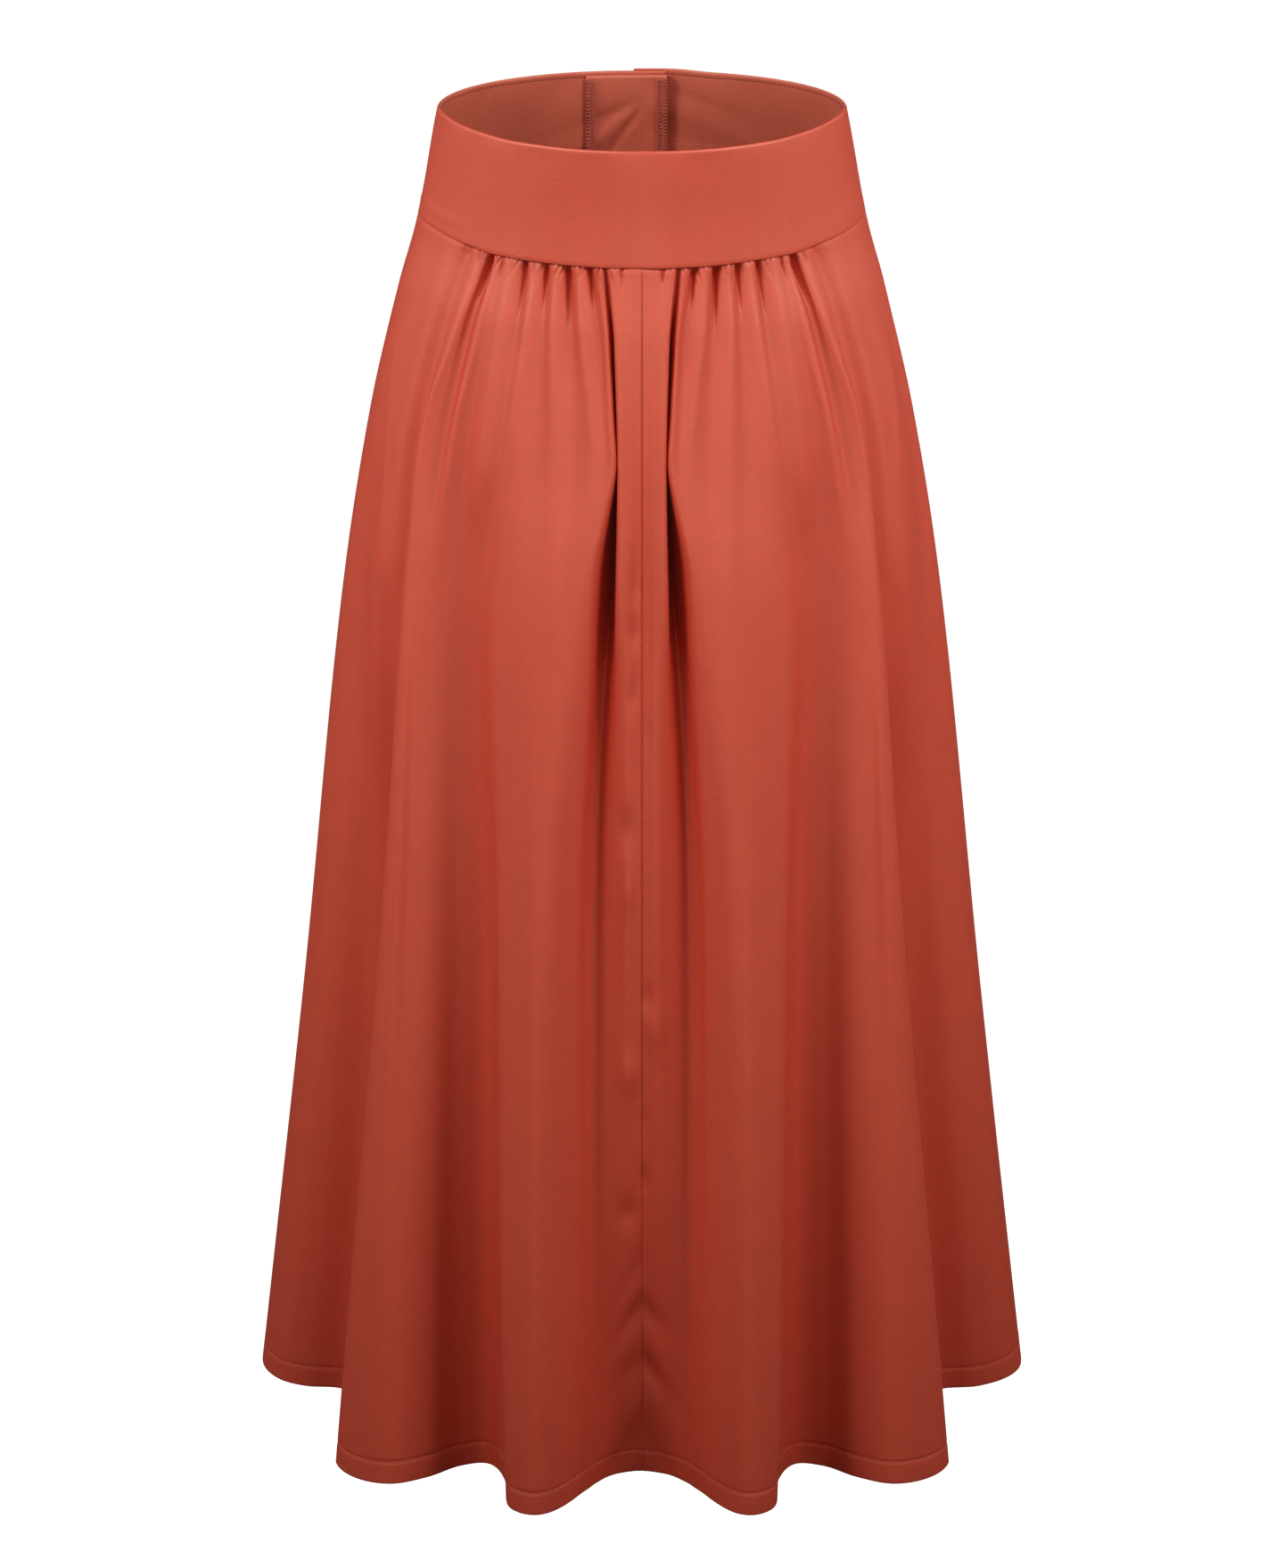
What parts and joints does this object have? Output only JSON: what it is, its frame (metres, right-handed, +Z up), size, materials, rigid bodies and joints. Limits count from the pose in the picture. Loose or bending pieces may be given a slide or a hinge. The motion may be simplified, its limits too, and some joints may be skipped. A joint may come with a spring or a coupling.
{
  "type": "midi skirt",
  "caption": "Gathered satin midi skirt on a deep plain waistband, hollow as worn, with a buttoned lap at the centre back and a narrow turned-up hem.",
  "frame": {"origin": "middle of the waist opening, level with the waistband's top edge", "axes": "+Z up, out of the waist opening; -Y towards the front; +X towards the wearer's left side"},
  "size_m": [0.486, 0.411, 0.82],
  "materials": {
    "satin_panels": "satin weave, smooth with a soft shine",
    "satin_band": "satin weave, interfaced so that it lies flat",
    "buttons": "polished, moulded"
  },
  "bodies": {
    "root": {"front_left": "satin_panels", "front_right": "satin_panels", "back_left": "satin_panels", "back_right": "satin_panels", "waistband_front": "satin_band", "waistband_back_left": "satin_band", "waistband_back_right": "satin_band", "waistband_underlap": "satin_band", "back_placket": "satin_band", "button_1": "buttons", "button_2": "buttons", "button_3": "buttons", "button_4": "buttons"}
  },
  "joints": []
}
